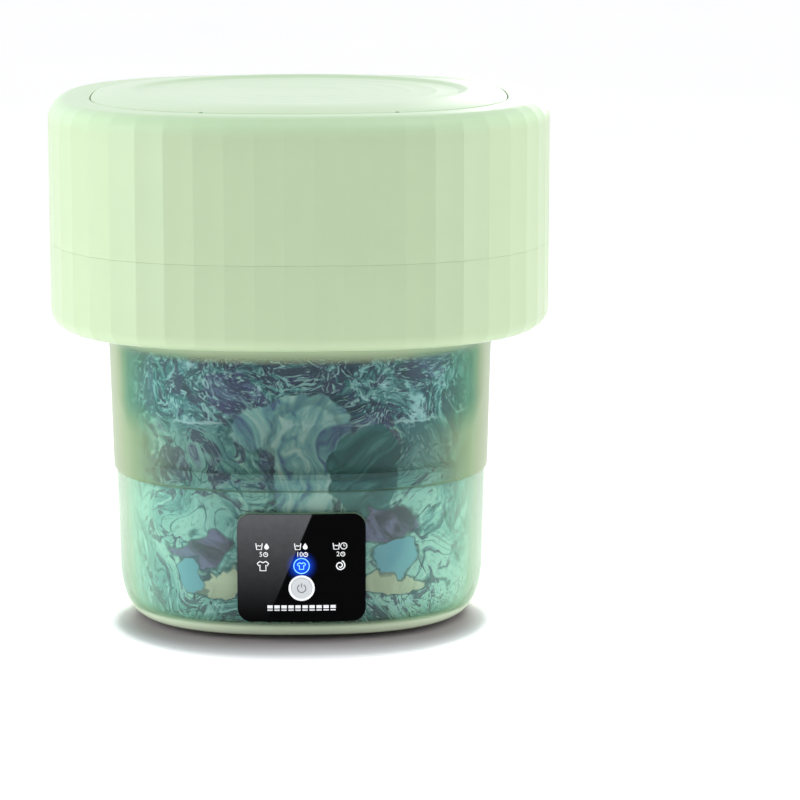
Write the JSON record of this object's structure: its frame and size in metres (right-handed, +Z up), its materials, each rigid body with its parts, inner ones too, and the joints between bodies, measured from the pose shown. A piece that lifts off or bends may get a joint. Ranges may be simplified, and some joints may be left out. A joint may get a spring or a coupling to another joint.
{
  "type": "portable mini washer",
  "caption": "Folding tabletop mini washer: wide faceted squircle collar with lift-off lid on a see-through tapered tub, black control panel low at the front.",
  "frame": {"origin": "bottom centre, on the plane the rubber feet stand on", "axes": "+Z up; the control panel faces -Y; +X is to the right seen from the front"},
  "size_m": [0.26, 0.26, 0.2738],
  "materials": {
    "shell_mint": "glossy moulded ABS",
    "lid_mint": "glossy moulded ABS",
    "inner_white": "satin moulded PP",
    "soft_mint": "translucent soft TPE",
    "tub_mint": "translucent moulded plastic",
    "seal_rubber": "matt",
    "dark_rubber": "matt",
    "panel_black": "high gloss",
    "button_white": "satin",
    "bright_ring": "polished",
    "board_green": "solder mask",
    "light_blue": "diffusing",
    "steel": "brushed",
    "gear_nylon": "satin nylon",
    "brass_gear": "machined",
    "motor_steel": "zinc plated",
    "jack_black": "moulded"
  },
  "bodies": {
    "base": {"base_shell": "tub_mint", "inner_tub": "inner_white", "tub_rim_ring": "inner_white", "folding_wall": "soft_mint", "bottom_cover": "shell_mint", "rubber_feet": "dark_rubber", "bottom_screws": "steel", "upper_bearing": "steel", "lower_bearing": "steel", "shaft_seal": "dark_rubber", "drive_plate": "steel", "plate_screws": "steel", "motor_screws": "steel", "motor_can": "motor_steel", "panel_lens": "panel_black", "panel_gasket": "dark_rubber", "control_board": "board_green", "indicator_lights": "light_blue", "button_switch": "jack_black", "button_ring": "bright_ring", "drain_elbow": "inner_white", "dc_inlet": "jack_black"},
    "collar": {"upper_shell": "shell_mint", "lower_shell": "shell_mint", "seam_gasket": "seal_rubber", "collar_liner": "inner_white", "rim_ring": "inner_white", "soft_wall_clamp": "inner_white", "clamp_screws": "steel"},
    "lid": {"lid": "lid_mint", "lid_seal": "seal_rubber"},
    "basket": {"drain_basket": "inner_white"},
    "pulsator": {"pulsator": "inner_white", "pulsator_screw": "steel", "drive_shaft": "steel", "shaft_clip": "steel", "driven_gear": "gear_nylon"},
    "motor_rotor": {"motor_rotor": "motor_steel", "motor_pinion": "brass_gear"},
    "button": {"power_button": "button_white"},
    "drain_plug": {"drain_plug": "seal_rubber"}
  },
  "joints": [
    {"name": "fold", "type": "slide", "parent": "base", "child": "collar", "axis": [0, 0, -1], "range_m": [0, 0.135], "deforming": ["folding_wall"]},
    {"name": "lid_lift", "type": "slide", "parent": "collar", "child": "lid", "axis": [0, 0, 1], "range_m": [0, 0.16]},
    {"name": "basket_lift", "type": "slide", "parent": "collar", "child": "basket", "axis": [0, 0, 1], "range_m": [0, 0.08]},
    {"name": "pulsator_spin", "type": "hinge", "parent": "base", "child": "pulsator", "pos_m": [0, 0, 0.05], "axis": [0, 0, 1], "continuous": true},
    {"name": "motor_spin", "type": "hinge", "parent": "base", "child": "motor_rotor", "pos_m": [0.03, 0, 0.03], "axis": [0, 0, 1], "continuous": true},
    {"name": "button_press", "type": "slide", "parent": "base", "child": "button", "axis": [0, 1, 0], "range_m": [0, 0.0005], "stiffness_N_per_m": 800},
    {"name": "drain_plug_pull", "type": "slide", "parent": "base", "child": "drain_plug", "axis": [0, 1, 0], "range_m": [0, 0.03]}
  ],
  "couplings": [
    {"joint": "basket_lift", "follows": "lid_lift", "ratio": 0.5},
    {"joint": "motor_spin", "follows": "pulsator_spin", "ratio": -3}
  ]
}
